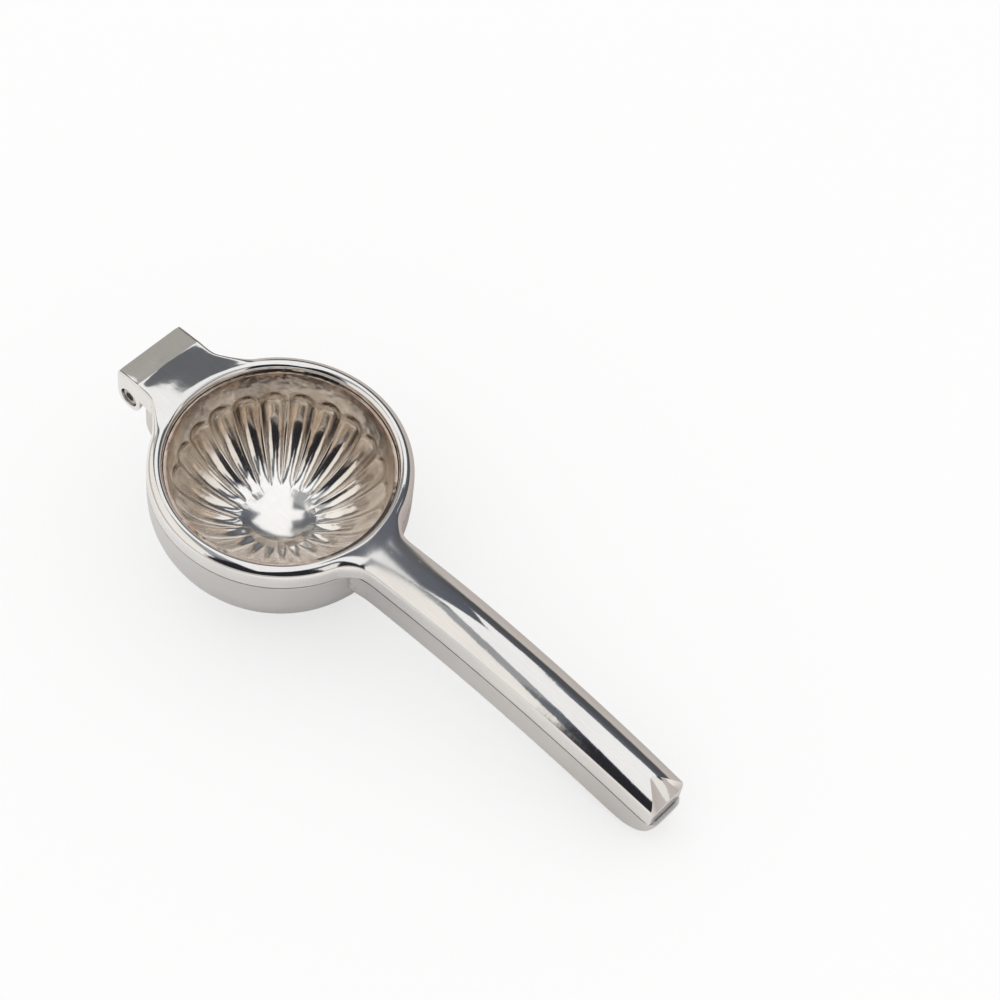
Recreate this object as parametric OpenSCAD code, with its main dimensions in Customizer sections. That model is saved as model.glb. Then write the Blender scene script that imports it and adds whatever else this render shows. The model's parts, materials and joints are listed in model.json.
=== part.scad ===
// Hinged lemon squeezer: two hollow sheet-metal arms on one hinge pin. The upper arm carries
// a fluted press cup, the lower arm a strainer cup. It lies as it does on a table, on the rim
// of the strainer cup's base and on the tip of the lower arm.
// Millimetres. The modules draw the tool level, with the ring's centre over the origin, the
// handle along +X, the hinge pin along Y and the two arms parting at Z = 0. place() then
// tilts the whole tool onto the table.

/* [Ring and sheet] */
// Outside diameter of the upper ring and of the strainer cup
ring_d = 80; // [74:1:88]
// Width of the ring, from its outer wall to the press cup
rim_w = 5; // [4.5:0.1:6]
// Height of the ring's straight outer wall above the parting plane
wall_h = 5.1; // [4.6:0.1:6]
// Rise of the ring's rounded crown above its wall
crown_h = 1.6; // [1.2:0.1:2.2]
// Sheet thickness of the shells and of the strainer cup
sheet = 1.2; // [0.8:0.1:1.4]
// Thickness of the flat plates that close the two arms
plate = 1; // [0.6:0.1:1.2]
// Gap between the closed arms
arm_gap = 0.4; // [0.3:0.1:0.8]
// Clearance between pieces that are welded to each other
seat_gap = 0.1; // [0.05:0.05:0.2]

/* [Handle] */
// Distance from the ring's centre to the end of the upper arm
arm_reach = 154; // [135:1:170]
// Width of the handle where it leaves the ring
root_w = 17; // [15:0.5:19]
// Width of the handle at its tip
tip_w = 14.2; // [12:0.2:16]
// Radius of the handle's arch, seen from the side
arch_r = 520; // [450:10:700]
// Height of the arch above the parting plane
arch_rise = 2; // [1:0.1:2.5]
// Height of the upper arm at its ridge
upper_h = 9.8; // [9:0.1:11]
// Radius across the upper arm's crown
ridge_r = 10.5; // [9.5:0.1:13]
// Slope of the ridge where it comes down to the ring, in degrees
root_slope = 8.5; // [6:0.5:11]
// Depth of the lower arm at its keel
lower_h = 13.3; // [12:0.1:14.5]
// Radius across the lower arm's keel
keel_r = 14; // [13:0.5:18]
// Radius of the fillet between handle and ring, seen from above
root_fillet = 8; // [5:0.5:11]
// Length of the sloped facet at the end of the upper arm
facet_l = 8.5; // [6:0.5:11]
// Height of the upper arm's end wall under the facet
end_h = 4.2; // [3:0.1:5]
// How far the lower arm reaches past the upper arm
tip_over = 1.3; // [0:0.1:3]
// Radius of the lower arm's tip, seen from the side
tip_round = 12; // [8:0.5:12]

/* [Press cup] */
// Depth of the press cup below its rim, inside
press_depth = 30; // [26:0.5:31]
// Depth of the press cup's rim below the top of the ring's outer wall
rim_drop = 0.6; // [0.3:0.1:1.2]
// Thickness of the press cup
press_t = 0.95; // [0.7:0.05:1.2]
// Number of flutes round the press cup
flutes = 22; // [18:1:28]
// Depth of a flute as a share of half its width
flute_depth = 0.4; // [0.2:0.05:0.5]
// Turn of the flutes about the cup's axis, in degrees
flute_turn = 0.5; // [-7.5:0.5:7.5]
// Angle from the nose at which the flutes start
nose_a = 19; // [16:1:26]
// Angle from the nose at which the flutes end in round tips
flute_top_a = 70; // [62:0.5:72]

/* [Strainer cup] */
// Height of the strainer cup
bowl_h = 33.2; // [30:0.2:37]
// Radius between the cup's wall and its flat base
bowl_round = 26; // [20:0.5:27]
// Diameter of a drain hole
hole_d = 4; // [2.4:0.2:4.4]
// Distance between rings of drain holes
hole_pitch = 6.5; // [5.5:0.1:7]
// Number of rings of drain holes round the middle one
hole_rings = 2; // [1:1:3]

/* [Hinge] */
// Distance from the ring's centre to the hinge pin
pin_x = 52.8; // [50:0.2:58]
// Depth of the hinge pin below the parting plane
pin_drop = 2.3; // [1.5:0.1:3]
// Diameter of the hinge pin
pin_d = 5; // [4:0.1:5.2]
// Radial running clearance of the pin in the knuckle and in the cheeks
pin_fit = 0.06; // [0.03:0.01:0.09]
// Width of the hinge over both cheeks
hinge_w = 25.6; // [22:0.2:30]
// Thickness of a cheek
cheek_t = 3; // [2.6:0.1:3.6]
// Radius of a cheek's round end about the pin
cheek_r = 4.8; // [4.6:0.1:5.6]
// Height of the hinge's top over the parting plane, at the bend in it
hinge_top = 7.3; // [6.8:0.1:8.5]
// Length of the facet from that bend to the hinge's end
hinge_facet_l = 8.2; // [6:0.2:9.5]
// Drop of the hinge's facet towards its end
hinge_facet_drop = 0.9; // [0.4:0.1:1.6]
// Radius of the fillet between hinge and ring, seen from above
hinge_fillet = 12; // [6:0.5:14]
// Side clearance between knuckle and cheeks
knuckle_gap = 0.3; // [0.2:0.05:0.6]
// Radius of the knuckle
knuckle_r = 4.4; // [4:0.1:4.5]
// Distance from the ring's outer wall to the back of the neck
neck_l = 6.1; // [5:0.1:6.8]
// Radius of the neck's lower back edge
neck_round = 8.5; // [7:0.5:10]
// Diameter of the pin's round head and of its counterbored screw head
head_d = 8; // [7:0.1:9]
// Height of the pin's round head
head_h = 1.7; // [1.2:0.1:2.2]
// Diameter of the screw head in the near cheek
screw_d = 6.2; // [5.8:0.1:6.6]
// Height of the screw head
screw_h = 1.5; // [1.2:0.1:1.8]
// Diameter of the screw's shank
shank_d = 3; // [2.5:0.1:3.2]
// Width across the flats of the screw's hexagon socket
socket_af = 3; // [2.5:0.5:3.5]

/* [Hidden] */
$fn = 96;

big = 400;
steel = [0.78, 0.77, 0.75];
satin = [0.72, 0.71, 0.69];
dark_steel = [0.42, 0.42, 0.43];

// Ring
ring_r = ring_d / 2;
open_r = ring_r - rim_w;
half_gap = arm_gap / 2;
crown_arc = (pow(rim_w / 2, 2) + pow(crown_h, 2)) / (2 * crown_h);
crown_z = wall_h + crown_h - crown_arc;
ring_top = wall_h + crown_h;
fillet_top = wall_h + 0.5;
// The fillets' undersides clear the lower arm, which rises between them
fillet_foot = half_gap + 0.6;

// Handle: its arc of parting starts at the ring's outer wall
arch_x = ring_r + sqrt(2 * arch_r * arch_rise - pow(arch_rise, 2));
arch_span = 2 * asin((arm_reach + tip_over + 8 - arch_x) / arch_r);
lower_end = arm_reach + tip_over;
slope_x = ring_r - rim_w / 2;

function part_z(x) = arch_rise - arch_r + sqrt(pow(arch_r, 2) - pow(x - arch_x, 2));
function half_w(x) = (root_w + (tip_w - root_w) * (x - ring_r) / (arm_reach - ring_r)) / 2;

// Tip of the lower arm: its round end runs smoothly out of the keel's arc
keel_arc = arch_r - lower_h;
tip_x = lower_end - tip_round;
tip_z = arch_rise - arch_r + sqrt(pow(keel_arc + tip_round, 2) - pow(tip_x - arch_x, 2));
tip_from = tip_x - tip_round * (tip_x - arch_x) / (keel_arc + tip_round);

// End facet of the upper arm
end_z = part_z(arm_reach) + end_h;
facet_z = part_z(arm_reach - facet_l) + upper_h;
facet_slope = (facet_z - end_z) / facet_l;

// Press cup: a sphere through its rim and its nose
rim_z = wall_h - rim_drop;
rim_r = open_r - seat_gap / 2 - press_t;
cap_r = (pow(rim_r, 2) + pow(press_depth, 2)) / (2 * press_depth);
cap_z = rim_z - press_depth + cap_r;
rim_a = acos((cap_z - rim_z) / cap_r);

// Strainer cup
base_r = ring_r - bowl_round;
bowl_z = bowl_round - bowl_h;

// Hinge
hinge_y = hinge_w / 2;
cheek_y = hinge_y - cheek_t;
hinge_end = pin_x + cheek_r;
bend_x = hinge_end - hinge_facet_l;
hole_r = pin_d / 2 + pin_fit;
sink_r = screw_d / 2 + 0.2;
sink_l = screw_h + 0.4;
lip_z = knuckle_r - pin_drop - 1.1;
notch_x = pin_x - cheek_r;
neck_x = ring_r + neck_l;
neck_y = hinge_y - 0.5;
neck_h = bowl_h / 2;
neck_z = neck_round - neck_h;
knuckle_y = cheek_y - knuckle_gap;
// The web's underside stops the upper arm's lip when the tool is wide open
web_z = knuckle_r + 0.2;
shank_l = 11;

// The tool's place on the table: it lies on the cup's base arc and on the tip's arc
rest_dx = tip_x - base_r;
rest_dz = tip_z - bowl_z;
rest_a = atan2(rest_dz, rest_dx)
       + asin((bowl_round - tip_round) / norm([rest_dx, rest_dz]));
rest_h = base_r * sin(rest_a) - bowl_z * cos(rest_a) + bowl_round;
front_x = lower_end * cos(rest_a) + (part_z(lower_end) - half_gap) * sin(rest_a);
back_x = -pin_x * cos(rest_a) - pin_drop * sin(rest_a) - cheek_r;

module place() {
    translate([-(front_x + back_x) / 2, 0, rest_h]) rotate([0, rest_a, 0]) children();
}

// ---- Shared shapes -------------------------------------------------------------------

// Extrudes an outline drawn in X and Z over the width from -y to y
module across(y) {
    rotate([90, 0, 0]) linear_extrude(height = 2 * y, center = true) children();
}

// Extrudes an outline drawn in X and Y through the whole height
module upright() {
    linear_extrude(height = big, center = true) children();
}

// Sweeps a section, drawn as height over the parting arc and Y, along the handle's arch
module along_arch() {
    translate([arch_x, 0, arch_rise - arch_r]) rotate([90, 0, 0])
        rotate([0, 0, 90 - arch_span / 2]) rotate_extrude(angle = arch_span)
            translate([arch_r, 0]) children();
}

// Handle seen from above, drawn in by inset, from the ring's wall to x
module handle_plan(inset, end) {
    start = open_r - 4;
    polygon([[start, half_w(start) - inset], [end, half_w(end) - inset],
             [end, inset - half_w(end)], [start, inset - half_w(start)]]);
}

// One fillet of radius r beside an arm of half width y, sunk a little into ring and arm
module plan_fillet(y, r) {
    sunk_r = ring_r - 0.1;
    sunk_y = y - 0.1;
    c_x = sqrt(pow(sunk_r + r, 2) - pow(sunk_y + r, 2));
    k = sunk_r / (sunk_r + r);
    difference() {
        polygon([[open_r, 0], [open_r, sunk_y], [k * c_x, k * (sunk_y + r)], [c_x, sunk_y], [c_x, 0]]);
        translate([c_x, sunk_y + r]) circle(r = r);
    }
}

module plan_fillets(y, r) {
    plan_fillet(y, r);
    mirror([0, 1]) plan_fillet(y, r);
}

// ---- Upper arm -----------------------------------------------------------------------

module ring_section(inset, floor_z) {
    intersection() {
        translate([open_r + inset, floor_z]) square([rim_w - 2 * inset, big]);
        union() {
            translate([ring_r - rim_w / 2, crown_z]) circle(r = crown_arc - inset);
            translate([open_r, floor_z]) square([rim_w, crown_z - floor_z]);
        }
    }
}

module ridge_section(inset, floor_h) {
    w = root_w / 2 + 1;
    intersection() {
        translate([floor_h, -w]) square([upper_h - inset - floor_h, 2 * w]);
        union() {
            translate([upper_h - ridge_r, 0]) circle(r = ridge_r - inset);
            translate([floor_h - 1, -w]) square([upper_h - ridge_r + 1 - floor_h, 2 * w]);
        }
    }
}

// Side of the upper arm: the slope down to the ring, and the facet at the tip
module upper_side(inset) {
    end = arm_reach - inset;
    start = open_r - 6;
    drop = inset * 1.3;
    rise = tan(root_slope);
    top_x = (end_z + facet_slope * arm_reach - ring_top + rise * slope_x) / (rise + facet_slope);
    polygon([[start, -big / 2], [start, ring_top - drop + rise * (start - slope_x)],
             [top_x, ring_top - drop + rise * (top_x - slope_x)],
             [end, end_z - drop + facet_slope * inset], [end, -big / 2]]);
}

module upper_handle(inset, floor_h) {
    intersection() {
        along_arch() ridge_section(inset, floor_h);
        upright() handle_plan(inset, arm_reach - inset);
        across(root_w) upper_side(inset);
    }
}

// Side of the hinge's top and cheeks, drawn towards +X
module hinge_side(inset) {
    polygon([[hinge_end - inset, half_gap], [hinge_end - inset, hinge_top - hinge_facet_drop - inset],
             [bend_x, hinge_top - inset], [open_r, ring_top - inset], [open_r, half_gap]]);
}

module cheeks() {
    difference() {
        across(hinge_y) {
            translate([pin_x, -pin_drop]) circle(r = cheek_r);
            translate([notch_x, -pin_drop]) square([2 * cheek_r, pin_drop + wall_h]);
        }
        across(cheek_y) translate([0, -big / 2]) square(big);
    }
}

module pin_hole(y0, y1, r) {
    translate([pin_x, y0, -pin_drop]) rotate([-90, 0, 0]) cylinder(r = r, h = y1 - y0);
}

// The hinge end is drawn towards +X and turned to face -X
module turned() {
    mirror([1, 0, 0]) children();
}

module upper_outer() {
    rotate_extrude() ring_section(0, half_gap);
    upper_handle(0, half_gap);
    translate([0, 0, fillet_foot]) linear_extrude(height = fillet_top - fillet_foot) {
        plan_fillets(half_w(ring_r + root_fillet), root_fillet);
        mirror([1, 0]) plan_fillets(hinge_y, hinge_fillet);
    }
    turned() across(hinge_y) hinge_side(0);
}

module upper_hollow() {
    difference() {
        union() {
            rotate_extrude() ring_section(sheet, -1);
            upper_handle(sheet, -1);
            turned() across(cheek_y) {
                hinge_side(sheet);
                translate([ring_r - 2, -1]) square([hinge_end - sheet - ring_r + 2, 3]);
            }
        }
        cylinder(r = open_r + sheet, h = big, center = true);
    }
}

module upper_shell() color(steel) place() {
    difference() {
        union() {
            upper_outer();
            turned() cheeks();
        }
        upper_hollow();
        cylinder(r = open_r + seat_gap / 2, h = big, center = true);
        // under the lip at the back of the hinge
        turned() across(cheek_y) translate([pin_x, -big / 2]) square([big / 2, big / 2 + lip_z]);
        turned() pin_hole(-big / 2, big / 2, hole_r);
        turned() pin_hole(-hinge_y - 1, sink_l - hinge_y, sink_r);
    }
}

module liner_section(floor_h) {
    translate([floor_h, -root_w]) square([plate, 2 * root_w]);
}

module upper_liner() color(satin) place() {
    edge = sheet + seat_gap;
    difference() {
        union() {
            translate([0, 0, half_gap]) cylinder(r = ring_r - edge, h = plate);
            intersection() {
                along_arch() liner_section(half_gap);
                upright() handle_plan(edge, arm_reach - edge);
                translate([ring_r - edge - 1, -big / 2, -big / 2]) cube(big);
            }
            turned() translate([ring_r - 3, seat_gap - cheek_y, half_gap])
                cube([notch_x - ring_r + 3, 2 * (cheek_y - seat_gap), plate]);
        }
        cylinder(r = open_r + edge, h = big, center = true);
    }
}

// ---- Press cup -----------------------------------------------------------------------

// The flutes end below the rim, in round tips as long as half their width
flute_end_a = min(flute_top_a, rim_a - 4);
tip_a = flute_end_a - 165 / flutes;
// Angles of the rows of points, from the nose to the rim
press_rows = [for (t = [0.35, 0.7]) t * nose_a,
              nose_a, nose_a + 2,
              for (i = [1 : 5]) nose_a + 2 + (tip_a - nose_a - 2) * i / 5,
              for (t = [0.35, 0.6, 0.8, 0.92, 1]) tip_a + (flute_end_a - tip_a) * t,
              (flute_end_a + rim_a) / 2, rim_a];
// Points across one flute, from ridge to ridge
flute_cols = 4;
press_cols = flutes * flute_cols;

function flute_half(a) = PI * cap_r * sin(a) / flutes;
function flute_fade(a, u) =
    a <= nose_a ? 0 :
    a <= tip_a ? 1 - pow(u, 2) :
    max(0, 1 - pow(u, 2) - pow((a - tip_a) / (flute_end_a - tip_a), 2));
function flute_out(a, u) = flute_depth * flute_half(a) * flute_fade(a, u);
function across_flute(j) = 2 * (j % flute_cols) / flute_cols - 1;
function press_b(j) = 360 * j / press_cols + flute_turn;
function press_point(a, j, t) =
    let (r = cap_r + t + flute_out(a, across_flute(j)), b = press_b(j))
    [r * sin(a) * cos(b), r * sin(a) * sin(b), cap_z - r * cos(a)];
function rim_point(j, r) =
    let (b = press_b(j)) [r * cos(b), r * sin(b), rim_z];

// Number of a point in row i, counted from the nose
function press_at(i, j) = 1 + i * press_cols + j % press_cols;

module press_cup() color(steel) place() {
    n = press_cols;
    last = len(press_rows) - 1;
    skin = len(press_rows) * n + 1;
    inner = [[0, 0, cap_z - cap_r],
             for (a = press_rows) for (j = [0 : n - 1]) press_point(a, j, 0)];
    outer = [[0, 0, cap_z - cap_r - press_t],
             for (i = [0 : last - 1]) for (j = [0 : n - 1]) press_point(press_rows[i], j, press_t),
             for (j = [0 : n - 1]) rim_point(j, rim_r + press_t)];
    up = [for (j = [0 : n - 1]) [0, press_at(0, j), press_at(0, j + 1)],
          for (i = [0 : last - 1]) for (j = [0 : n - 1]) each
              [[press_at(i, j), press_at(i + 1, j), press_at(i + 1, j + 1)],
               [press_at(i, j), press_at(i + 1, j + 1), press_at(i, j + 1)]]];
    down = [for (f = up) [f[0] + skin, f[2] + skin, f[1] + skin]];
    rim = [for (j = [0 : n - 1])
              let (a = press_at(last, j), b = press_at(last, j + 1)) each
              [[a, skin + a, skin + b], [a, skin + b, b]]];
    polyhedron(points = concat(inner, outer), faces = concat(down, up, rim));
}

// ---- Lower arm -----------------------------------------------------------------------

module bowl_section(inset, top_z) {
    intersection() {
        translate([0, -bowl_h + inset]) square([ring_r - inset, bowl_h - inset + top_z]);
        union() {
            translate([base_r, bowl_z]) circle(r = bowl_round - inset);
            translate([0, -bowl_h]) square([base_r, bowl_h + top_z]);
            translate([0, bowl_z]) square([2 * ring_r, top_z - bowl_z]);
        }
    }
}

module bowl_outer(grow, top_z) {
    rotate_extrude() bowl_section(-grow, top_z);
}

module strainer_cup() color(steel) place() {
    difference() {
        bowl_outer(0, -half_gap);
        rotate_extrude() bowl_section(sheet, 1);
        for (k = [0 : hole_rings]) for (i = [0 : max(0, 6 * k - 1)])
            rotate([0, 0, k == 0 ? 0 : 60 * i / k]) translate([k * hole_pitch, 0, -bowl_h - 1])
                cylinder(d = hole_d, h = bowl_h / 2);
    }
}

module keel_section(inset, top_h) {
    w = root_w / 2 + 1;
    intersection() {
        translate([inset - lower_h, -w]) square([lower_h - inset + top_h, 2 * w]);
        translate([keel_r - lower_h, 0]) circle(r = keel_r - inset);
    }
}

// Side of the lower arm: square above, round at the lower tip
module lower_side(inset) {
    translate([open_r, -big / 2]) square([tip_from - open_r, big]);
    translate([tip_x, tip_z]) circle(r = tip_round - inset);
    translate([tip_from - 1, tip_z]) square([lower_end - inset - tip_from + 1, big / 2]);
}

module lower_handle(inset, top_h) {
    intersection() {
        along_arch() keel_section(inset, top_h);
        upright() handle_plan(inset, lower_end + 1);
        across(root_w) lower_side(inset);
    }
}

module lower_shell() color(steel) place() {
    difference() {
        lower_handle(0, -half_gap);
        lower_handle(sheet, 1);
        bowl_outer(seat_gap, 1);
    }
}

module lower_liner() color(satin) place() {
    edge = sheet + seat_gap;
    difference() {
        intersection() {
            along_arch() liner_section(-half_gap - plate);
            upright() handle_plan(edge, lower_end - edge);
        }
        bowl_outer(seat_gap, 1);
    }
}

// ---- Hinge ---------------------------------------------------------------------------

// Side of the neck, with a round lower back edge
module neck_side() {
    intersection() {
        translate([open_r, -neck_h]) square([neck_x - open_r, neck_h - half_gap]);
        union() {
            translate([open_r, neck_z]) square([neck_x - open_r, neck_h]);
            translate([open_r, -neck_h]) square([neck_x - neck_round - open_r, neck_h]);
            translate([neck_x - neck_round, neck_z]) circle(r = neck_round);
        }
    }
}

module hinge_block() color(satin) place() {
    turned() difference() {
        union() {
            across(neck_y) neck_side();
            across(knuckle_y) {
                translate([pin_x, -pin_drop]) circle(r = knuckle_r);
                translate([neck_x - 1, -pin_drop - web_z])
                    square([pin_x - neck_x + 1, web_z + pin_drop - half_gap]);
            }
        }
        bowl_outer(seat_gap, 1);
        pin_hole(-big / 2, big / 2, hole_r);
    }
}

module hinge_barrel() color(dark_steel) place() turned() {
    translate([pin_x, 0, -pin_drop]) rotate([-90, 0, 0]) difference() {
        union() {
            translate([0, 0, sink_l - hinge_y + seat_gap])
                cylinder(d = pin_d, h = 2 * hinge_y - sink_l);
            translate([0, 0, hinge_y + seat_gap]) cylinder(d = head_d, h = head_h);
        }
        translate([0, 0, sink_l - hinge_y - 1])
            cylinder(d = shank_d + 2 * seat_gap, h = shank_l + 2);
    }
}

module hinge_screw() color(dark_steel) place() turned() {
    translate([pin_x, 0, -pin_drop]) rotate([-90, 0, 0]) difference() {
        union() {
            translate([0, 0, sink_l - screw_h - hinge_y]) cylinder(d = screw_d, h = screw_h);
            translate([0, 0, sink_l - hinge_y - 0.5]) cylinder(d = shank_d, h = shank_l);
        }
        translate([0, 0, sink_l - screw_h - hinge_y - 1])
            cylinder(d = socket_af / cos(30), h = screw_h, $fn = 6);
    }
}

upper_shell();
upper_liner();
press_cup();
lower_shell();
lower_liner();
strainer_cup();
hinge_block();
hinge_barrel();
hinge_screw();
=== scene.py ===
"""Hinged lemon squeezer of polished stainless steel, dressed over its CAD frame.

Shapes are worked out in millimetres on the level tool: the ring's centre over the origin, the
handle along +X, the hinge pin along Y, and the two arms parting at Z = 0. TABLE then lays each
finished piece onto the table with the CAD nodes.
"""
import json
import math

import bmesh
import bpy
from mathutils import Matrix, Vector


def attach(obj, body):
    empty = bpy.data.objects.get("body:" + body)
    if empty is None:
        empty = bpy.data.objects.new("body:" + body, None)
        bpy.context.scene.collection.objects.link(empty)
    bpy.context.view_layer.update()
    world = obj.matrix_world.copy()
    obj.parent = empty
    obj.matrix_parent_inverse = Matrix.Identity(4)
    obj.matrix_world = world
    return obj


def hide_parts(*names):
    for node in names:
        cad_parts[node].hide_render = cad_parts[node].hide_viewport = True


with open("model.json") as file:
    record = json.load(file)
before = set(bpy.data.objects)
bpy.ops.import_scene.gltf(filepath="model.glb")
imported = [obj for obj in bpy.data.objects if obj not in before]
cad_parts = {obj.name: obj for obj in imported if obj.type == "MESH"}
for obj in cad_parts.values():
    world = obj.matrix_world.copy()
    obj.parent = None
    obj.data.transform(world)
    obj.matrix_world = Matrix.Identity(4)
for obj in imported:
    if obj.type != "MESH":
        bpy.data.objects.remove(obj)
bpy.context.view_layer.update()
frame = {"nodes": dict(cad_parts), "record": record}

# --- Sizes of the tool, in millimetres, as the CAD has them --------------------------------
RING_R = 40.0
RING_TOP = 6.7
GAP = 0.2
PIN = Vector((-52.8, 0.0, -2.3))
ARCH_R = 520.0
ARCH_RISE = 2.0
ARCH_X = RING_R + math.sqrt(2 * ARCH_R * ARCH_RISE - ARCH_RISE ** 2)
ARM_END = 154.0
LOWER_END = 155.3
UPPER_H = 9.8
LOWER_H = 13.3
KEEL_R = 14.0
RIDGE_R = 10.5
ROOT_FILLET = 8.0
HINGE_FILLET = 12.0
TIP_R = 12.0
HINGE_Y = 12.8
HINGE_END = 57.6
CHEEK_Y = 9.8
CHEEK_OUT = 11.6
CHEEK_R = 4.8
CHEEK_SKIN = 0.12
KNUCKLE_R = 4.4
KNUCKLE_Y = 9.5
NECK_Y = 12.3
PIN_BORE_R = 2.56
SCREW_BORE_R = 3.3
SHEET = 1.2
SHELL_T = 1.15
PRESS_T = 0.9
BOWL_H = 33.2
BOWL_R = 26.0
HOLE_D = 4.0
HOLE_PITCH = 6.5
CAP_R = 34.267
CAP_Z = 8.767
RIM_A = 82.85
FLUTES = 22
FLUTE_TURN = 0.5
FLUTE_DEPTH = 0.4
NOSE_A = 19.0
FLUTE_TOP_A = 70.0
TIP_A = FLUTE_TOP_A - 165 / FLUTES

# Lengths that stand for "nowhere near" where a finish reads them
OFF_SEAM = 9.0
OFF_ROOT = 99.0


# --- From the level tool to the table --------------------------------------------------------
def tool_to_table():
    """The matrix that lays the level tool, in millimetres, onto the table, in metres."""
    record = frame["record"]
    down = Vector(record["mounts"][0]["axis"])
    pin = Vector(record["behaviour"]["joints"][0]["pos_m"])
    turn = Matrix.Rotation(math.atan2(-down.x, -down.z), 4, "Y")
    move = pin - turn.to_3x3() @ (PIN * 0.001)
    return Matrix.Translation(move) @ turn @ Matrix.Scale(0.001, 4)


TABLE = tool_to_table()
REST_TURN = -TABLE.to_euler().y


def add_piece(bm, name, body, material, merge=0.001):
    """Turns a bmesh on the level tool into a finished piece that rides on a body."""
    bmesh.ops.remove_doubles(bm, verts=bm.verts, dist=merge)
    bmesh.ops.recalc_face_normals(bm, faces=bm.faces)
    bmesh.ops.transform(bm, matrix=TABLE, verts=bm.verts)
    mesh = bpy.data.meshes.new(name)
    bm.to_mesh(mesh)
    bm.free()
    piece = bpy.data.objects.new(name, mesh)
    bpy.context.collection.objects.link(piece)
    mesh.shade_smooth()
    mesh.materials.append(material)
    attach(piece, body)
    return piece


def subdivide(piece, levels=2):
    mod = piece.modifiers.new("Smooth skin", "SUBSURF")
    mod.levels = mod.render_levels = levels


def sheet(piece, thickness):
    mod = piece.modifiers.new("Sheet", "SOLIDIFY")
    mod.thickness = thickness * 0.001
    mod.offset = -1
    mod.use_even_offset = True
    return mod


def mark_sharp(piece, degrees):
    piece.data.set_sharp_from_angle(angle=math.radians(degrees))


def settle(piece, sharp=None):
    """Applies a piece's modifiers, and marks edges past an angle as sharp."""
    graph = bpy.context.evaluated_depsgraph_get()
    mesh = bpy.data.meshes.new_from_object(piece.evaluated_get(graph), depsgraph=graph)
    old = piece.data
    piece.modifiers.clear()
    piece.data = mesh
    mesh.name = old.name
    bpy.data.meshes.remove(old)
    if sharp is not None:
        mark_sharp(piece, sharp)


def cut(piece, bm):
    """Cuts a bmesh on the level tool out of a piece."""
    bmesh.ops.recalc_face_normals(bm, faces=bm.faces)
    bmesh.ops.transform(bm, matrix=TABLE, verts=bm.verts)
    mesh = bpy.data.meshes.new("cutter")
    bm.to_mesh(mesh)
    bm.free()
    cutter = bpy.data.objects.new("cutter", mesh)
    bpy.context.collection.objects.link(cutter)
    mod = piece.modifiers.new("Cut", "BOOLEAN")
    mod.operation = "DIFFERENCE"
    mod.solver = "EXACT"
    mod.object = cutter
    bpy.context.view_layer.update()
    settle(piece)
    bpy.data.objects.remove(cutter)
    bpy.data.meshes.remove(mesh)


# --- Curves that the arms follow -------------------------------------------------------------
def part_z(x):
    """Height of the arched parting line at a distance along the handle."""
    return ARCH_RISE - ARCH_R + math.sqrt(ARCH_R ** 2 - (x - ARCH_X) ** 2)


def seam_z(x):
    """Height of the parting line: level under the ring, then along the arm's arch."""
    return part_z(max(x, RING_R))


def half_w(x):
    return (17.0 - 2.8 * (x - RING_R) / (ARM_END - RING_R)) / 2


def between(x, table):
    """Straight-line reading of a short table of (x, value)."""
    if x <= table[0][0]:
        return table[0][1]
    for (x0, v0), (x1, v1) in zip(table, table[1:]):
        if x <= x1:
            return v0 + (v1 - v0) * (x - x0) / (x1 - x0)
    return table[-1][1]


def ease(t):
    t = min(1.0, max(0.0, t))
    return t * t * (3 - 2 * t)


def ridge_z(x):
    """Height of the upper arm's ridge: a slope up from the ring that eases into the arch."""
    slope = RING_TOP + math.tan(math.radians(8.5)) * (x - 37.5)
    arch = part_z(x) + UPPER_H
    soft = 1.2
    gap = slope - arch
    return arch + gap / 2 - math.sqrt(gap * gap / 4 + soft * 0.12)


def crown_drop(x):
    """How far the upper arm's crown falls from its ridge to its side walls; flatter at the root."""
    full = RIDGE_R - math.sqrt(RIDGE_R ** 2 - half_w(x) ** 2)
    return full * between(x, ((40, 0.36), (50, 0.54), (62, 0.8), (78, 1.0)))


def fillet_w(x, w, r):
    """Half width of an arm at a distance from the ring's centre, with its fillet to the ring."""
    end = math.sqrt((RING_R + r) ** 2 - (w + r) ** 2)
    return w if x >= end else w + r - math.sqrt(r * r - (end - x) ** 2)


# --- Upper arm: one smooth skin over ring, handle and hinge -----------------------------------
SIDES = 96
RING_PROFILE = ((35.12, GAP), (35.12, 2.6), (35.12, 5.0), (35.5, 6.2), (36.75, 6.92), (38.35, 6.55),
                (39.7, 5.3), (RING_R, 3.8), (RING_R, GAP))
CROWN = 5
HANDLE_STATIONS = (41.2, 43.2, 46.0, 50.0, 56.0, 64.0, 74.0, 84.0, 95.0, 106.0, 117.0, 127.0, 136.0, 143.0)


def spin_profile(bm, points, steps):
    """Spins a profile of (radius, height) once round the ring's axis."""
    verts = [bm.verts.new((r, 0, z)) for r, z in points]
    edges = [bm.edges.new(pair) for pair in zip(verts, verts[1:])]
    bmesh.ops.spin(bm, geom=verts + edges, cent=(0, 0, 0), axis=(0, 0, 1), dvec=(0, 0, 0),
                   angle=2 * math.pi, steps=steps, use_merge=True, use_duplicate=False)
    bmesh.ops.remove_doubles(bm, verts=bm.verts, dist=0.001)


def ring_vert(bm, col, row):
    """The skin's vertex in a column round the ring and a row of its profile."""
    r, z = RING_PROFILE[row]
    a = 2 * math.pi * col / SIDES
    target = Vector((r * math.cos(a), r * math.sin(a), z))
    return min(bm.verts, key=lambda v: (v.co - target).length_squared)


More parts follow.
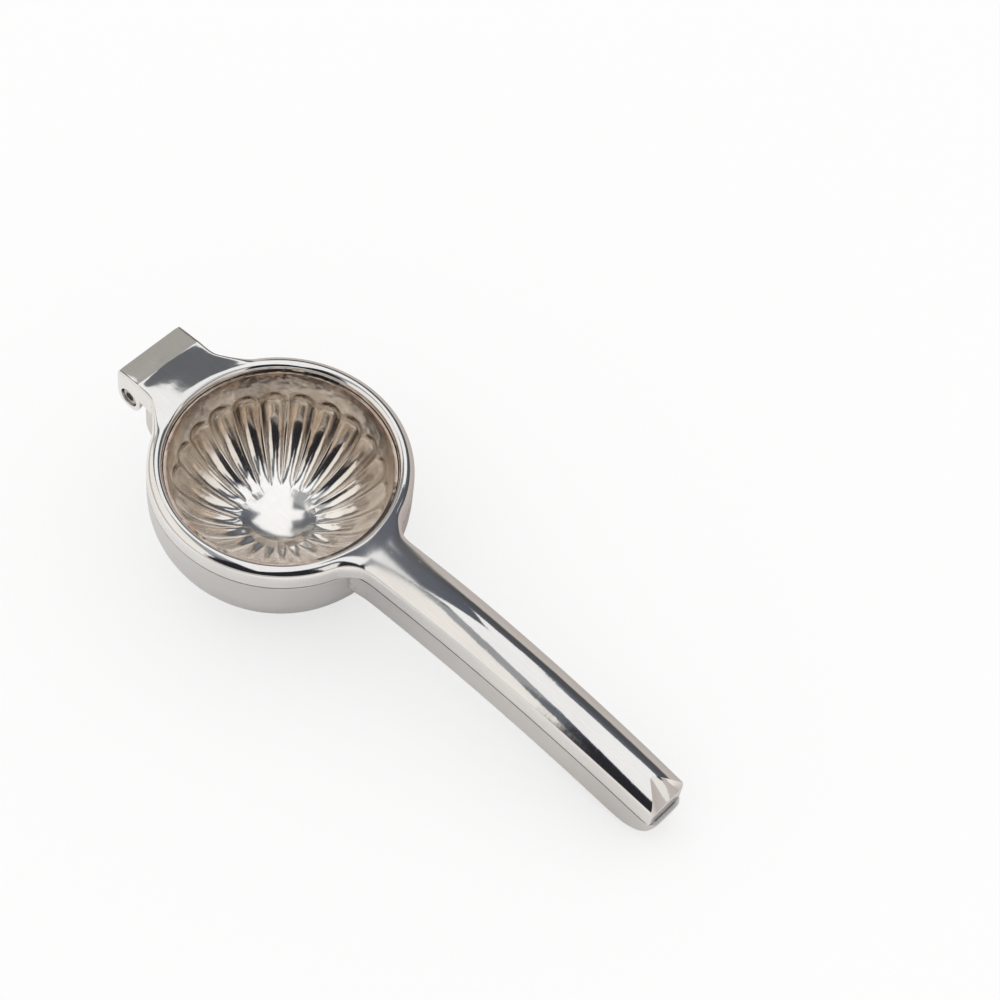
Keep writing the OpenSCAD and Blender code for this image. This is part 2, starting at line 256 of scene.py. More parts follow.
def open_sector(bm, middle, half):
    """Takes out the ring's outer wall in a sector and returns the edge chain left there."""
    cols = range(middle - half, middle + half + 1)
    grid = [[ring_vert(bm, c % SIDES, r) for r in (5, 6, 7, 8)] for c in cols]
    inside = set()
    for left, right in zip(grid, grid[1:]):
        for i in range(3):
            quad = {left[i], left[i + 1], right[i], right[i + 1]}
            inside |= {f for f in left[i].link_faces if set(f.verts) == quad}
    bmesh.ops.delete(bm, geom=list(inside), context="FACES")
    return grid[0][:0:-1] + [g[0] for g in grid] + grid[-1][1:]


def edge_between(a, b):
    for e in a.link_edges:
        if e.other_vert(a) is b:
            return e
    return None


def carry_on(bm, chain, spots):
    """Extrudes an open chain of vertices and puts the new ones on the spots."""
    edges = [edge_between(a, b) for a, b in zip(chain, chain[1:])]
    made = bmesh.ops.extrude_edge_only(bm, edges=edges)["geom"]
    new = {v for v in made if isinstance(v, bmesh.types.BMVert)}
    fresh = [next(e.other_vert(v) for e in v.link_edges if e.other_vert(v) in new) for v in chain]
    for v, spot in zip(fresh, spots):
        v.co = spot
    return fresh


def crown_row(x, w, ridge, drop, soft):
    """Points across the crown, from the near shoulder's arc to the far one's, and that arc's height."""
    r = (w * w + drop * drop) / (2 * drop)
    low = ridge - r
    arc_y = w - soft
    arc_z = low + math.sqrt((r - soft) ** 2 - arc_y ** 2)
    lean = math.atan2(arc_z - low, arc_y)
    edge_y = arc_y + soft * math.cos(lean)
    swell = soft + 0.1
    mid = (arc_y + swell * math.cos(lean / 2), arc_z + swell * math.sin(lean / 2))
    row = []
    for k in range(-CROWN, CROWN + 1):
        side = -1 if k < 0 else 1
        if abs(k) == CROWN:
            row.append(Vector((x, side * mid[0], mid[1])))
        else:
            y = edge_y * k / (CROWN - 1)
            row.append(Vector((x, y, low + math.sqrt(r * r - y * y))))
    return row, arc_z


def handle_crown(x):
    soft = between(x, ((41, 2.6), (60, 2.1), (100, 1.7), (154, 1.4)))
    return crown_row(x, fillet_w(x, half_w(x), ROOT_FILLET), ridge_z(x), crown_drop(x), soft)


def handle_section(x):
    w = fillet_w(x, half_w(x), ROOT_FILLET)
    crown, arc_z = handle_crown(x)
    foot = part_z(x) + GAP
    side = [Vector((x, w, z)) for z in (foot, foot + 0.6 * (arc_z - foot), arc_z)]
    return [Vector((p.x, -p.y, p.z)) for p in side] + crown + side[::-1]


APEX_X = 146.0
FACET_END = 153.2
CORNER_Y = 6.1
FACET_H = 5.6


def tip_section():
    """The last section of the upper arm: the crown runs out to a point over a small slanted facet."""
    crown = []
    for k in range(2 * CROWN + 1):
        x = APEX_X
        for _ in range(12):
            spot = handle_crown(x)[0][k]
            x = APEX_X + (FACET_END - APEX_X) * min(1.0, abs(spot.y) / CORNER_Y)
        crown.append(spot)
    x, w = FACET_END + 0.2, half_w(FACET_END)
    foot, low = part_z(x) + GAP, part_z(x) + FACET_H - 0.25
    side = [Vector((x, w, z)) for z in (foot, foot + 0.55 * (low - foot), low)]
    return [Vector((p.x, -p.y, p.z)) for p in side] + crown + side[::-1]


def close_end(bm, chain, wall, out=0.0):
    """Closes a swept arm with an end wall that hangs from its top row and bulges by out."""
    top = chain[wall:-wall]
    for level in range(wall - 1, -1, -1):
        left, right = chain[level].co, chain[-1 - level].co
        n = len(top) - 1
        spots = []
        for i in range(n + 1):
            spot = left.lerp(right, 0.5 - 0.5 * math.cos(math.pi * i / n))
            spot.x += out * min(1.0, 0.6 * min(i, n - i))
            spots.append(spot)
        top = carry_on(bm, top, spots)


HINGE_COLS = 8
HINGE_STATIONS = (-41.2, -42.8, -44.4, -46.2, -47.75, -48.05, -48.7, -49.4, -50.1, -51.6, -53.8, -55.6,
                  -56.8, -57.35)
HINGE_TOP = ((38.0, 6.8), (42.0, 7.1), (46.0, 7.3), (49.0, 7.32), (49.4, 7.28), (50.1, 7.16), (53.8, 6.82),
             (56.8, 6.45), (HINGE_END, 6.3))


def cheek_foot(x):
    """Lower edge of a cheek: the parting line, then the round end about the pin."""
    if x > -47.9:
        return GAP
    r = CHEEK_R + CHEEK_SKIN
    reach = min(1.0, abs(x - PIN.x) / r)
    return PIN.z - r * math.sqrt(1 - reach * reach)


def hinge_section(x, foot=None):
    w = fillet_w(-x, HINGE_Y, HINGE_FILLET) + 0.05
    top = between(-x, HINGE_TOP)
    foot = cheek_foot(x) if foot is None else foot
    soft = 1.0
    side = [Vector((x, w, foot)), Vector((x, w, 1.0)), Vector((x, w, top - soft))]
    crown = []
    for k in range(-HINGE_COLS, HINGE_COLS + 1):
        if abs(k) == HINGE_COLS:
            y, drop = w - 0.22 * soft, 0.22 * soft
        else:
            y, drop = (w - soft) * abs(k) / (HINGE_COLS - 1), 0.0
        crown.append(Vector((x, math.copysign(y, k) if k else 0.0, top - drop)))
    section = [Vector((p.x, -p.y, p.z)) for p in side] + crown + side[::-1]
    return section[::-1]


def is_level(a, b):
    return abs(a.z - b.z) < 0.1


def crease_edges(bm, wanted, weight):
    layer = bm.edges.layers.float.get("crease_edge") or bm.edges.layers.float.new("crease_edge")
    for e in bm.edges:
        if wanted(e.verts[0].co, e.verts[1].co):
            e[layer] = weight


def make_upper_shell():
    bm = bmesh.new()
    spin_profile(bm, RING_PROFILE, SIDES)
    handle = open_sector(bm, 0, CROWN)
    hinge = open_sector(bm, SIDES // 2, HINGE_COLS)
    for i, v in enumerate(handle[3:-3]):
        v.co.z += 0.42 * ease(1 - abs(i - CROWN) / CROWN)
    for i, v in enumerate(hinge[3:-3]):
        v.co.z += 0.4 * ease(1.6 - 1.6 * abs(i - HINGE_COLS) / HINGE_COLS)
    for x in HANDLE_STATIONS:
        handle = carry_on(bm, handle, handle_section(x))
    handle = carry_on(bm, handle, tip_section())
    rim = [v.co.copy() for v in handle[2:-2]]
    close_end(bm, handle, 3, 0.55)
    for x in HINGE_STATIONS:
        hinge = carry_on(bm, hinge, hinge_section(x))
    hinge = carry_on(bm, hinge, hinge_section(-HINGE_END, PIN.z))
    close_end(bm, hinge[1:-1], 2)
    bmesh.ops.remove_doubles(bm, verts=bm.verts, dist=0.01)

    def on_rim(spot):
        return any((spot - p).length < 0.02 for p in rim)

    crease_edges(bm, lambda a, b: on_rim(a) and on_rim(b), 1.0)
    crease_edges(bm, lambda a, b: min(a.x, b.x) > FACET_END and is_level(a, b) and min(a.z, b.z) > 1.5, 0.9)
    crease_edges(bm, lambda a, b: max(a.x, b.x) < -57.5 and is_level(a, b) and min(a.z, b.z) > 5, 0.6)
    return bm


# --- Press cup: a spun bowl whose wall is pressed out into flutes ------------------------------
FLUTE_COLS = 14


def press_angles():
    """Angles of the rows from the nose in degrees, closer where the flutes start and end."""
    spans = ((0, NOSE_A, 6), (NOSE_A, 24.0, 9), (24.0, TIP_A - 2, 14), (TIP_A - 2, FLUTE_TOP_A + 1, 13),
             (FLUTE_TOP_A + 1, RIM_A - 2.2, 6), (RIM_A - 2.2, RIM_A, 3))
    rows = [a + (b - a) * i / n for a, b, n in spans for i in range(n)]
    return rows[1:] + [RIM_A]


def flute_out(a, u):
    """How far the wall goes out at angle a from the nose; u runs from -1 to 1 across a flute."""
    half = math.pi * CAP_R * math.sin(math.radians(a)) / FLUTES
    bowed = 1 - u * u
    start = NOSE_A - 1.0 + 1.2 * bowed
    if a <= start:
        return 0.0
    rise = min(1.0, (a - start) / 11.0)
    fade = rise * (2 - rise)
    past = max(0.0, (a - TIP_A) / (FLUTE_TOP_A - TIP_A))
    return FLUTE_DEPTH * half * fade * max(0.0, bowed - past * past) ** (1 - 0.35 * min(1.0, past))


def make_press_cup():
    bm = bmesh.new()
    angles = [math.radians(a) for a in press_angles()]
    rows = [(CAP_R * math.sin(a), CAP_Z - CAP_R * math.cos(a)) for a in angles]
    spin_profile(bm, [(0, CAP_Z - CAP_R)] + rows, FLUTES * FLUTE_COLS)
    centre = Vector((0, 0, CAP_Z))
    for v in bm.verts:
        arm = v.co - centre
        a = math.degrees(math.atan2(math.hypot(arm.x, arm.y), -arm.z))
        turn = math.degrees(math.atan2(arm.y, arm.x)) - FLUTE_TURN
        u = 2 * ((turn * FLUTES / 360) % 1) - 1
        v.co = centre + arm * (1 + flute_out(a, u) / CAP_R)
    return bm


# --- Strainer cup ------------------------------------------------------------------------------
def bowl_r(z):
    """Outside radius of the strainer cup at a height."""
    drop = max(0.0, BOWL_R - BOWL_H - z)
    return RING_R - BOWL_R + math.sqrt(BOWL_R ** 2 - drop ** 2)


def make_strainer_cup():
    bm = bmesh.new()
    base_r = RING_R - BOWL_R
    angles = [math.radians(a) for a in range(6, 91, 6)]
    arc = [(base_r + BOWL_R * math.sin(a), BOWL_R - BOWL_H - BOWL_R * math.cos(a)) for a in angles]
    wall = [(RING_R, -4.5), (RING_R, -1.0), (RING_R, -0.45), (RING_R - 0.1, -0.26), (RING_R - 0.3, -GAP)]
    spin_profile(bm, [(0, -BOWL_H), (4, -BOWL_H), (9, -BOWL_H), (base_r, -BOWL_H)] + arc + wall, 144)
    return bm


def drain_holes():
    bm = bmesh.new()
    for ring in range(3):
        for i in range(max(1, 6 * ring)):
            a = math.radians(60 * i / max(1, ring))
            spot = Vector((ring * HOLE_PITCH * math.cos(a), ring * HOLE_PITCH * math.sin(a), -BOWL_H))
            bmesh.ops.create_cone(bm, cap_ends=True, segments=32, radius1=HOLE_D / 2, radius2=HOLE_D / 2,
                                  depth=6, matrix=Matrix.Translation(spot))
    return bm


# --- Lower arm: a trough that is welded to the strainer cup ------------------------------------
KEEL = (-0.94, -0.8, -0.45, 0.0, 0.45, 0.8, 0.94)


def keel_z(x):
    """Height of the keel: along the arch, then up round the tip."""
    tip_x = LOWER_END - TIP_R
    inner = ARCH_R - LOWER_H
    tip_z = ARCH_RISE - ARCH_R + math.sqrt((inner + TIP_R) ** 2 - (tip_x - ARCH_X) ** 2)
    if x < tip_x - TIP_R * (tip_x - ARCH_X) / (inner + TIP_R):
        return ARCH_RISE - ARCH_R + math.sqrt(inner ** 2 - (x - ARCH_X) ** 2)
    return tip_z - math.sqrt(max(0.0, TIP_R ** 2 - (x - tip_x) ** 2))


def lower_w(x):
    """Half width of the lower arm: wider at the weld, drawn in round the corners of the tip."""
    corner = 3.4
    past = min(corner, max(0.0, x - LOWER_END + corner))
    return half_w(x) + 1.3 * (1 - ease((x - 39.5) / 4.5)) - (corner - math.sqrt(corner ** 2 - past ** 2))


def lower_section(x):
    w, top, keel = lower_w(x), part_z(x) - GAP, keel_z(x)
    high = top - keel
    belly = min(KEEL_R - math.sqrt(KEEL_R ** 2 - w * w), 0.4 * high)
    keel_row = [Vector((x, k * w, keel + belly * k * k)) for k in KEEL]
    side = [Vector((x, w, top)), Vector((x, w, top - 0.12 * high)), Vector((x, w, top - 0.5 * high)),
            Vector((x, w, keel + belly + 0.12 * high))]
    return [Vector((p.x, -p.y, p.z)) for p in side] + keel_row + side[::-1]


def make_lower_shell():
    bm = bmesh.new()
    chain = []
    for p in lower_section(39.0):
        x = math.sqrt((bowl_r(p.z) + 0.1) ** 2 - p.y ** 2)
        chain.append(bm.verts.new((x, p.y, p.z)))
    for a, b in zip(chain, chain[1:]):
        bm.edges.new((a, b))
    for x in (41.6, 44.5, 49.0, 57.0, 68.0, 80.0, 92.0, 104.0, 116.0, 127.0, 136.0):
        chain = carry_on(bm, chain, lower_section(x))
    for a in (4, 20, 36, 51, 64, 75, 83, 88):
        chain = carry_on(bm, chain, lower_section(LOWER_END - TIP_R + TIP_R * math.sin(math.radians(a))))
    close_end(bm, chain, 4)
    return bm


# --- Hinge -----------------------------------------------------------------------------------
def slab(outline, y0, y1, soft=0.25):
    """A plate with softened edges: an outline in X and Z, from y0 to y1."""
    bm = bmesh.new()
    face = bm.faces.new([bm.verts.new((x, y0, z)) for x, z in outline])
    made = bmesh.ops.extrude_face_region(bm, geom=[face])["geom"]
    moved = [v for v in made if isinstance(v, bmesh.types.BMVert)]
    bmesh.ops.translate(bm, vec=(0, y1 - y0, 0), verts=moved)
    bmesh.ops.recalc_face_normals(bm, faces=bm.faces)
    rims = [e for e in bm.edges if len(e.link_faces) == 2 and e.calc_face_angle() > math.radians(30)]
    bmesh.ops.bevel(bm, geom=rims, offset=soft, affect="EDGES", segments=3, profile=0.5, material=-1)
    return bm


def arc_points(cx, cz, r, start, end, steps):
    """Points of an arc in X and Z, in degrees from +X towards +Z."""
    angles = [math.radians(start + (end - start) * i / steps) for i in range(steps + 1)]
    return [(cx + r * math.cos(a), cz + r * math.sin(a)) for a in angles]


def drill(y0, y1, r):
    """A cutter along the pin's axis."""
    bm = bmesh.new()
    spot = Matrix.Translation((PIN.x, (y0 + y1) / 2, PIN.z)) @ Matrix.Rotation(math.pi / 2, 4, "X")
    bmesh.ops.create_cone(bm, cap_ends=True, segments=48, radius1=r, radius2=r, depth=y1 - y0, matrix=spot)
    return bm


def cheek_outline():
    r = CHEEK_R - 0.2
    x0, x1 = PIN.x - r, PIN.x + r
    return [(x0, 5.0)] + arc_points(PIN.x, PIN.z, r, 180, 360, 24) + [(x1, 5.6), (-50.0, 5.95)]


def neck_outline():
    back, low, r = -46.1, -16.6, 8.5
    return ([(back, -GAP)] + arc_points(back + r, low + r, r, 180, 270, 12)
            + [(-33.0, low), (-39.0, -GAP)])


def knuckle_outline():
    front, low = -45.5, PIN.z - 4.6
    return ([(PIN.x, PIN.z + KNUCKLE_R)] + arc_points(PIN.x, PIN.z, KNUCKLE_R, 90, 270, 24)
            + [(PIN.x, low), (front, low), (front, -GAP), (PIN.x + 3.85, -GAP)])


def turned_part(points, steps=48):
    """A part turned about the pin's axis from (radius, Y) points."""
    bm = bmesh.new()
    verts = [bm.verts.new((PIN.x + r, y, PIN.z)) for r, y in points]
    edges = [bm.edges.new(pair) for pair in zip(verts, verts[1:])]
    bmesh.ops.spin(bm, geom=verts + edges, cent=PIN, axis=(0, 1, 0), dvec=(0, 0, 0), angle=2 * math.pi,
                   steps=steps, use_merge=True, use_duplicate=False)
    bmesh.ops.remove_doubles(bm, verts=bm.verts, dist=0.001)
    return bm


def make_barrel():
    angles = [math.radians(a) for a in range(0, 91, 10)]
    head = [(4.0 * math.cos(a), 13.35 + 1.2 * math.sin(a)) for a in angles]
    head[-1] = (0.0, head[-1][1])
    sleeve = [(1.6, 0.0), (1.6, -10.7), (2.1, -10.8), (2.5, -10.5), (2.5, 12.9), (3.7, 12.9), (4.0, 13.1)]
    return turned_part(sleeve + head + [(0.0, 12.0), (0.0, 0.0), (1.6, 0.0)])


def make_screw():
    return turned_part([(0, -12.4), (2.2, -12.4), (2.75, -12.3), (3.0, -12.05), (3.1, -11.8), (3.1, -10.95),
                        (1.5, -10.9), (1.5, -1.0), (1.2, -0.4), (0, -0.4)])


def hex_socket():
    bm = bmesh.new()
    spot = Matrix.Translation((PIN.x, -12.6, PIN.z)) @ Matrix.Rotation(math.pi / 2, 4, "X")
    bmesh.ops.create_cone(bm, cap_ends=True, segments=6, radius1=1.73, radius2=1.73, depth=2.4, matrix=spot)
    return bm


# --- Finishes ----------------------------------------------------------------------------------
def add(tree, kind, **settings):
    node = tree.nodes.new(kind)
    for name, value in settings.items():
        setattr(node, name, value)
    return node


def feed(tree, source, target):
    """Links an output to a socket, or sets the socket where the source is a plain value."""
    if isinstance(source, bpy.types.NodeSocket):
        tree.links.new(source, target)
    else:
        target.default_value = source


def work(tree, operation, a, b=0.0, c=0.0):
    node = add(tree, "ShaderNodeMath", operation=operation)
    for socket, value in zip(node.inputs, (a, b, c)):
        feed(tree, value, socket)
    return node.outputs[0]


def span(tree, value, low, high, to_low=0.0, to_high=1.0):
    """Maps a value smoothly from low...high to to_low...to_high."""
    node = add(tree, "ShaderNodeMapRange", interpolation_type="SMOOTHSTEP")
    for socket, source in zip(node.inputs, (value, low, high, to_low, to_high)):
        feed(tree, source, socket)
    return node.outputs[0]


def noise(tree, vector, scale, detail=2.0, stretch=(1.0, 1.0, 1.0), offset=(0.0, 0.0, 0.0)):
    place = add(tree, "ShaderNodeMapping")
    feed(tree, vector, place.inputs["Vector"])
    place.inputs["Scale"].default_value = stretch
    place.inputs["Location"].default_value = offset
    node = add(tree, "ShaderNodeTexNoise")
    feed(tree, place.outputs[0], node.inputs["Vector"])
    feed(tree, scale, node.inputs["Scale"])
    node.inputs["Detail"].default_value = detail
    return node.outputs["Fac"]


def blend(tree, kind, factor, a, b):
    node = add(tree, "ShaderNodeMix", data_type="RGBA", blend_type=kind)
    feed(tree, factor, node.inputs["Factor"])
    feed(tree, a, node.inputs["A"])
    feed(tree, b, node.inputs["B"])
    return node.outputs["Result"]


def new_group(name, takes, gives):
    group = bpy.data.node_groups.new(name, "ShaderNodeTree")
    for direction, sockets in (("INPUT", takes), ("OUTPUT", gives)):
        for label, kind in sockets:
            group.interface.new_socket(name=label, in_out=direction, socket_type="NodeSocket" + kind)
    return group, add(group, "NodeGroupInput").outputs, add(group, "NodeGroupOutput").inputs


def make_polish_group():
    """Slow ripples, fine wiping lines and faint clouds that polishing leaves on sheet steel."""
    takes = (("Vector", "Vector"), ("Ripple", "Float"), ("Lines", "Float"), ("Roughness", "Float"),
             ("Spread", "Float"))
    gives = (("Tone", "Float"), ("Roughness", "Float"), ("Height", "Float"))
    group, take, give = new_group("polish_marks", takes, gives)
    vector = take["Vector"]
    slow = noise(group, vector, 75.0, 1.0)
    small = noise(group, vector, 310.0, 2.0, offset=(0.3, 0.1, 0.2))
    lines = noise(group, vector, 2600.0, 3.0, stretch=(0.035, 1.0, 1.0))
    clouds = noise(group, vector, 55.0, 4.0, offset=(0.7, 0.4, 0.1))
    specks = span(group, noise(group, vector, 900.0, 2.0, stretch=(0.5, 1.0, 1.0)), 0.66, 0.74)
    ripple = work(group, "MULTIPLY", work(group, "MULTIPLY_ADD", small, 0.16, slow), take["Ripple"])
    height = work(group, "MULTIPLY_ADD", lines, work(group, "MULTIPLY", take["Lines"], 0.02), ripple)
    feed(group, height, give["Height"])
    rough = work(group, "MULTIPLY_ADD", clouds, take["Spread"], take["Roughness"])
    rough = work(group, "MULTIPLY_ADD", specks, 0.08, rough)
    feed(group, rough, give["Roughness"])
    tone = span(group, clouds, 0.3, 0.7, 0.95, 1.0)
    feed(group, work(group, "MULTIPLY_ADD", span(group, lines, 0.35, 0.65), 0.03, tone), give["Tone"])
    return group


def make_stain_group():
    """Brown polishing compound that stays in a seam, strongest where the distance is zero."""
    takes = (("Vector", "Vector"), ("Color", "Color"), ("Distance", "Float"), ("Reach", "Float"),
             ("Amount", "Float"))
    group, take, give = new_group("seam_stain", takes, (("Color", "Color"),))
    ragged = noise(group, take["Vector"], 420.0, 3.0)
    reach = work(group, "MULTIPLY", take["Reach"], work(group, "MULTIPLY_ADD", ragged, 1.4, 0.3))
    near = span(group, work(group, "DIVIDE", take["Distance"], reach), 0.0, 1.0, 1.0, 0.0)
    mask = work(group, "MULTIPLY", near, take["Amount"])
    feed(group, blend(group, "MULTIPLY", mask, take["Color"], (0.36, 0.20, 0.14, 1)), give["Color"])
    return group


def make_pit_group():
    """Small weld pits and spatter, scattered where the mask is."""
    group, take, give = new_group("weld_pits", (("Vector", "Vector"), ("Mask", "Float")),
                                  (("Dark", "Float"), ("Height", "Float")))
    cells = add(group, "ShaderNodeTexVoronoi")
    feed(group, take["Vector"], cells.inputs["Vector"])
    cells.inputs["Scale"].default_value = 620.0
    spot = span(group, cells.outputs["Distance"], 0.12, 0.34, 1.0, 0.0)
    some = span(group, noise(group, take["Vector"], 240.0, 1.0), 0.5, 0.62)
    dark = work(group, "MULTIPLY", work(group, "MULTIPLY", spot, some), take["Mask"])
    feed(group, dark, give["Dark"])
    feed(group, work(group, "MULTIPLY", dark, -1.0), give["Height"])
    return group


POLISH = make_polish_group()
STAIN = make_stain_group()
PITS = make_pit_group()


def use_group(tree, group, **values):
    node = add(tree, "ShaderNodeGroup", node_tree=group)
    for name, value in values.items():
        feed(tree, value, node.inputs[name])
    return node.outputs


def start_metal(name):
    """A metal's shader and the coordinates in which its marks run: along the tool, in metres."""
    mat = bpy.data.materials.new(name)
    mat.use_nodes = True
    tree = mat.node_tree
    shader = tree.nodes["Principled BSDF"]
    shader.inputs["Metallic"].default_value = 1
    where = add(tree, "ShaderNodeTexCoord")
    place = add(tree, "ShaderNodeMapping")
    feed(tree, where.outputs["Object"], place.inputs["Vector"])
    place.inputs["Rotation"].default_value = (0.0, REST_TURN, 0.0)
    return mat, tree, shader, place.outputs[0]


def read(tree, name):
    return add(tree, "ShaderNodeAttribute", attribute_name=name).outputs["Fac"]


def bump(tree, shader, height, distance):
    node = add(tree, "ShaderNodeBump")
    node.inputs["Strength"].default_value = 1.0
    node.inputs["Distance"].default_value = distance
    feed(tree, height, node.inputs["Height"])
    feed(tree, node.outputs[0], shader.inputs["Normal"])


def tinted(tree, colour, tone):
    """A colour with its clouds, as one linked colour."""
    level = add(tree, "ShaderNodeCombineColor")
    for socket in level.inputs:
        feed(tree, tone, socket)
    return blend(tree, "MULTIPLY", 1.0, (*colour, 1), level.outputs[0])


def make_polished_steel():
    mat, tree, shader, vector = start_metal("polished steel")
    height = read(tree, "above_seam")
    wall = span(tree, height, 4.3, 5.3, 1.0, 0.0)
    brushed = span(tree, read(tree, "from_root"), 5.0, 26.0, 0.17, 0.06)
    rough = work(tree, "MULTIPLY_ADD", wall, 0.12, brushed)
    marks = use_group(tree, POLISH, Vector=vector, Ripple=1.0, Lines=1.0, Roughness=rough, Spread=0.05)
    colour = tinted(tree, (0.83, 0.82, 0.805), marks["Tone"])
    stain = use_group(tree, STAIN, Vector=vector, Color=colour, Distance=height, Reach=0.4, Amount=0.55)
    feed(tree, stain["Color"], shader.inputs["Base Color"])
    feed(tree, marks["Roughness"], shader.inputs["Roughness"])
    bump(tree, shader, marks["Height"], 0.00011)
    return mat


def make_press_steel():
    mat, tree, shader, vector = start_metal("press cup steel")
    from_nose = read(tree, "from_nose")
    soft = span(tree, from_nose, 15.0, 24.0, 0.09, 0.12)
    calm = span(tree, from_nose, 14.0, 24.0, 0.3, 1.0)
    marks = use_group(tree, POLISH, Vector=vector, Ripple=calm, Lines=0.6, Roughness=soft, Spread=0.06)
    edge = read(tree, "from_rim")
    flow = noise(tree, vector, 150.0, 2.0, offset=(0.2, 0.6, 0.4))
    brown = span(tree, noise(tree, vector, 120.0, 4.0), 0.3, 0.7)
    colour = blend(tree, "MIX", brown, (0.84, 0.77, 0.69, 1), (0.67, 0.575, 0.48, 1))
    # Towards the nose the colour turns near white: a painted highlight for the white reflection the nose
    # carries. Elsewhere the champagne tones vary at random.
    colour = blend(tree, "MIX", span(tree, from_nose, 20.0, 62.0), (0.95, 0.93, 0.91, 1), colour)
    colour = blend(tree, "MULTIPLY", 1.0, colour, tinted(tree, (1.0, 1.0, 1.0), marks["Tone"]))
    stain = use_group(tree, STAIN, Vector=vector, Color=colour, Distance=edge, Reach=1.1, Amount=0.7)
    feed(tree, stain["Color"], shader.inputs["Base Color"])
    feed(tree, marks["Roughness"], shader.inputs["Roughness"])
    waves = work(tree, "MULTIPLY", span(tree, from_nose, 62.0, 70.0, 1.0, 2.6), calm)
    bump(tree, shader, work(tree, "MULTIPLY_ADD", flow, waves, marks["Height"]), 0.0002)
    return mat


def make_satin_steel(name, colour, rough, lines, pitted):
    mat, tree, shader, vector = start_metal(name)
    marks = use_group(tree, POLISH, Vector=vector, Ripple=0.5, Lines=lines, Roughness=rough, Spread=0.1)
    tone = marks["Tone"]
    height = marks["Height"]
    if pitted:
        pits = use_group(tree, PITS, Vector=vector, Mask=read(tree, "weld"))
        tone = work(tree, "MULTIPLY_ADD", pits["Dark"], -0.62, tone)
        height = work(tree, "ADD", height, pits["Height"])
    shade = tinted(tree, colour, tone)
    if pitted:
        shade = use_group(tree, STAIN, Vector=vector, Color=shade, Distance=read(tree, "below_seam"),
                          Reach=0.35, Amount=0.5)["Color"]
    feed(tree, shade, shader.inputs["Base Color"])
    feed(tree, marks["Roughness"], shader.inputs["Roughness"])
    bump(tree, shader, height, 0.00008)
    return mat


polished = make_polished_steel()
champagne = make_press_steel()
satin = make_satin_steel("satin steel", (0.67, 0.66, 0.648), 0.26, 3.0, True)
inner = make_satin_steel("inner steel", (0.66, 0.64, 0.615), 0.34, 2.0, False)
dark = make_satin_steel("pin steel", (0.44, 0.42, 0.40), 0.2, 1.5, False)


def sharpen_tip(piece):
    """Keeps the edges of the tip's slanted facet crisp."""
    start = (TABLE @ Vector((APEX_X - 1.0, 0, 0))).x
    bm = bmesh.new()
    bm.from_mesh(piece.data)
    for e in bm.edges:
        if min(v.co.x for v in e.verts) > start and e.calc_face_angle(0.0) > math.radians(20):
            e.smooth = False
    bm.to_mesh(piece.data)
    bm.free()


def store(piece, name, measure):
    """Stores a length at each point of a finished piece, for its finish to read."""
    back = TABLE.inverted()
    values = piece.data.attributes.new(name, "FLOAT", "POINT").data
    for v in piece.data.vertices:
        values[v.index].value = measure(back @ v.co)


# --- Pieces ------------------------------------------------------------------------------------
shell = add_piece(make_upper_shell(), "upper_shell_skin", "upper_arm", polished)
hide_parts("upper_shell")
subdivide(shell, 2)
sheet(shell, SHELL_T)
settle(shell)
cut(shell, drill(-14, -10, SCREW_BORE_R))
cut(shell, drill(10, 14, PIN_BORE_R))
mark_sharp(shell, 50)
sharpen_tip(shell)
store(shell, "above_seam", lambda p: p.z - seam_z(p.x) if p.x > -48 else OFF_SEAM)
store(shell, "from_root", lambda p: (Vector((p.x, p.y)) - Vector((49, 3))).length)

for side, name in ((-1, "near"), (1, "far")):
    bm = slab(cheek_outline(), side * CHEEK_Y, side * CHEEK_OUT)
    plate = add_piece(bm, "cheek_plate_" + name, "upper_arm", polished)
    cut(plate, drill(-14, -10.9, SCREW_BORE_R) if side < 0 else drill(9, 14, PIN_BORE_R))
    if side < 0:
        cut(plate, drill(-11.5, -9, PIN_BORE_R))
    mark_sharp(plate, 35)
    store(plate, "above_seam", lambda p: OFF_SEAM)
    store(plate, "from_root", lambda p: OFF_ROOT)

press = add_piece(make_press_cup(), "press_cup_skin", "upper_arm", champagne)
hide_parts("press_cup")
sheet(press, PRESS_T).offset = 1
settle(press, 60)
store(press, "from_rim", lambda p: abs(Vector((p.x, p.y)).length - CAP_R))
store(press, "from_nose", lambda p: math.degrees(math.atan2(Vector((p.x, p.y)).length, CAP_Z - p.z)))

cup = add_piece(make_strainer_cup(), "strainer_cup_skin", "lower_arm", satin)
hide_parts("strainer_cup")
sheet(cup, SHEET)
settle(cup)
cut(cup, drain_holes())
mark_sharp(cup, 40)

trough = add_piece(make_lower_shell(), "lower_shell_skin", "lower_arm", satin)
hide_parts("lower_shell")
subdivide(trough, 2)
sheet(trough, SHELL_T)
settle(trough, 50)

neck = add_piece(slab(neck_outline(), -NECK_Y, NECK_Y, 0.5), "hinge_neck", "lower_arm", satin)
knuckle = add_piece(slab(knuckle_outline(), -KNUCKLE_Y, KNUCKLE_Y, 0.3), "hinge_knuckle", "lower_arm", satin)
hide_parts("hinge_block")
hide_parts("hinge_block")
for piece in (neck, knuckle):
    mark_sharp(piece, 35)
cut(knuckle, drill(-14, 14, PIN_BORE_R))
mark_sharp(knuckle, 35)


def weld_nearness(p):
    """How near a point lies to the welds on the cup's wall, from 0 to 1."""
    from_wall = abs(Vector((abs(p.x), p.y)).length - 41.5)
    return ease(1.5 - 0.25 * from_wall) * ease(1.6 - abs(p.y) / 9)


for piece in (cup, trough, neck, knuckle):
    store(piece, "below_seam", lambda p: abs(seam_z(p.x) - GAP - p.z) if p.x < 149 else OFF_SEAM)
    store(piece, "weld", weld_nearness)

